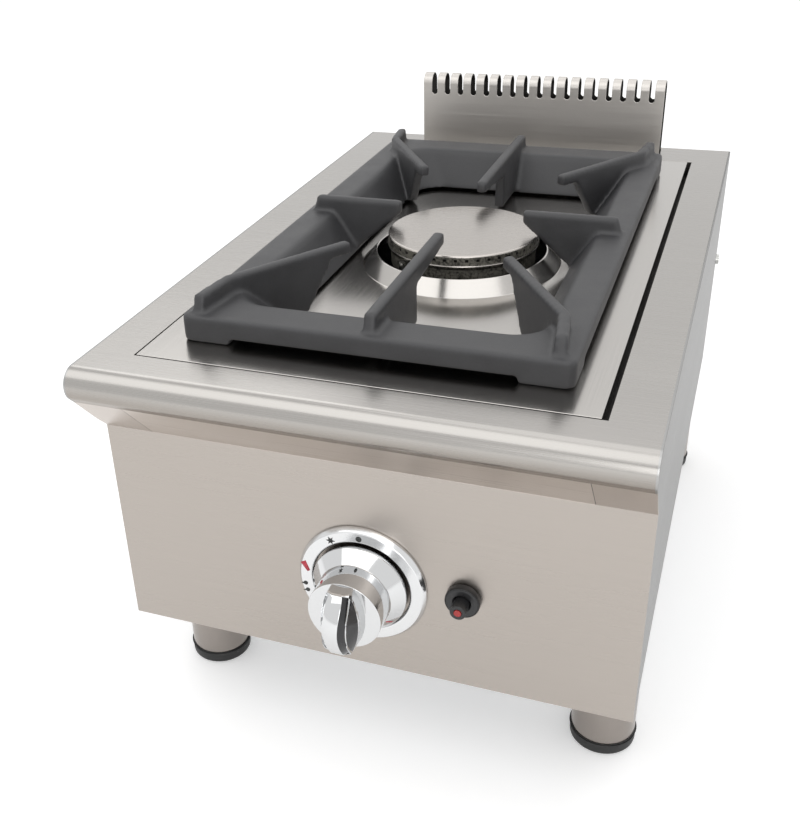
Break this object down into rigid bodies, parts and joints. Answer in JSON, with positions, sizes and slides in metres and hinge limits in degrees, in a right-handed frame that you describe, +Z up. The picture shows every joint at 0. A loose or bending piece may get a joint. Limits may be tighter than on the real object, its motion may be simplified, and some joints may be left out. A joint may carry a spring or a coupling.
{
  "type": "countertop gas range",
  "caption": "Stainless countertop gas range with a round burner, cast pan support, lift-out spill tray, slotted flue riser, control knob and igniter button on round legs.",
  "frame": {"origin": "on the floor under the middle of the bounding box", "axes": "+X to the right of someone facing the control panel, +Y to the back, +Z up"},
  "size_m": [0.3048, 0.523, 0.309],
  "materials": {
    "stainless": "satin brushed",
    "galvanised": "dull zinc",
    "enamelled_iron": "matt enamel",
    "cast_burner": "as cast",
    "brass": "turned",
    "tube_metal": "drawn",
    "plated_steel": "zinc plated",
    "chrome_trim": "mirror",
    "black_plastic": "satin",
    "red_plastic": "gloss",
    "ceramic": "glazed ceramic",
    "lead_cover": "silicone sleeve",
    "black_rubber": "matt"
  },
  "bodies": {
    "chassis": {"deck_top": "stainless", "front_panel": "stainless", "left_side_panel": "stainless", "right_side_panel": "stainless", "flue_riser": "stainless", "leg_front_left": "stainless", "leg_front_right": "stainless", "leg_rear_left": "stainless", "leg_rear_right": "stainless", "back_panel": "galvanised", "base_pan": "galvanised", "burner_stand": "galvanised", "thermocouple_clip": "galvanised", "electrode_clip": "galvanised", "burner_ring": "cast_burner", "burner_cup": "cast_burner", "mixing_tube": "cast_burner", "injector": "brass", "injector_holder": "brass", "valve_body": "brass", "gas_inlet": "brass", "feed_pipe": "tube_metal", "supply_pipe": "tube_metal", "inlet_locknut": "plated_steel", "leg_nuts": "plated_steel", "rear_screws": "plated_steel", "thermocouple": "plated_steel", "electrode_pin": "plated_steel", "dial_bezel": "chrome_trim", "igniter_body": "black_plastic", "igniter_nut": "black_plastic", "electrode_ceramic": "ceramic", "igniter_lead": "lead_cover", "thermocouple_lead": "lead_cover", "foot_front_left": "black_rubber", "foot_front_right": "black_rubber", "foot_rear_left": "black_rubber", "foot_rear_right": "black_rubber"},
    "push_rod": {"valve_push_rod": "plated_steel"},
    "control": {"knob": "chrome_trim", "valve_stem": "plated_steel"},
    "button": {"igniter_button": "black_plastic", "button_insert": "red_plastic"},
    "tray": {"spill_tray": "stainless"},
    "pan_support": {"grate": "enamelled_iron"},
    "cap": {"burner_cap": "stainless"}
  },
  "joints": [
    {"name": "knob_push", "type": "slide", "parent": "chassis", "child": "push_rod", "axis": [0, 1, 0], "range_m": [0, 0.004], "stiffness_N_per_m": 800, "springref_m": -0.008},
    {"name": "knob_turn", "type": "hinge", "parent": "push_rod", "child": "control", "pos_m": [0, -0.2135, 0.13], "axis": [0, -1, 0], "range_deg": [0, 210]},
    {"name": "igniter_press", "type": "slide", "parent": "chassis", "child": "button", "axis": [0, 1, 0], "range_m": [0, 0.006], "stiffness_N_per_m": 900, "springref_m": -0.004},
    {"name": "spill_tray_lift", "type": "slide", "parent": "chassis", "child": "tray", "axis": [0, 0, 1], "range_m": [0, 0.06]},
    {"name": "grate_lift", "type": "slide", "parent": "tray", "child": "pan_support", "axis": [0, 0, 1], "range_m": [0, 0.08]},
    {"name": "burner_cap_lift", "type": "slide", "parent": "chassis", "child": "cap", "axis": [0, 0, 1], "range_m": [0, 0.001]}
  ]
}
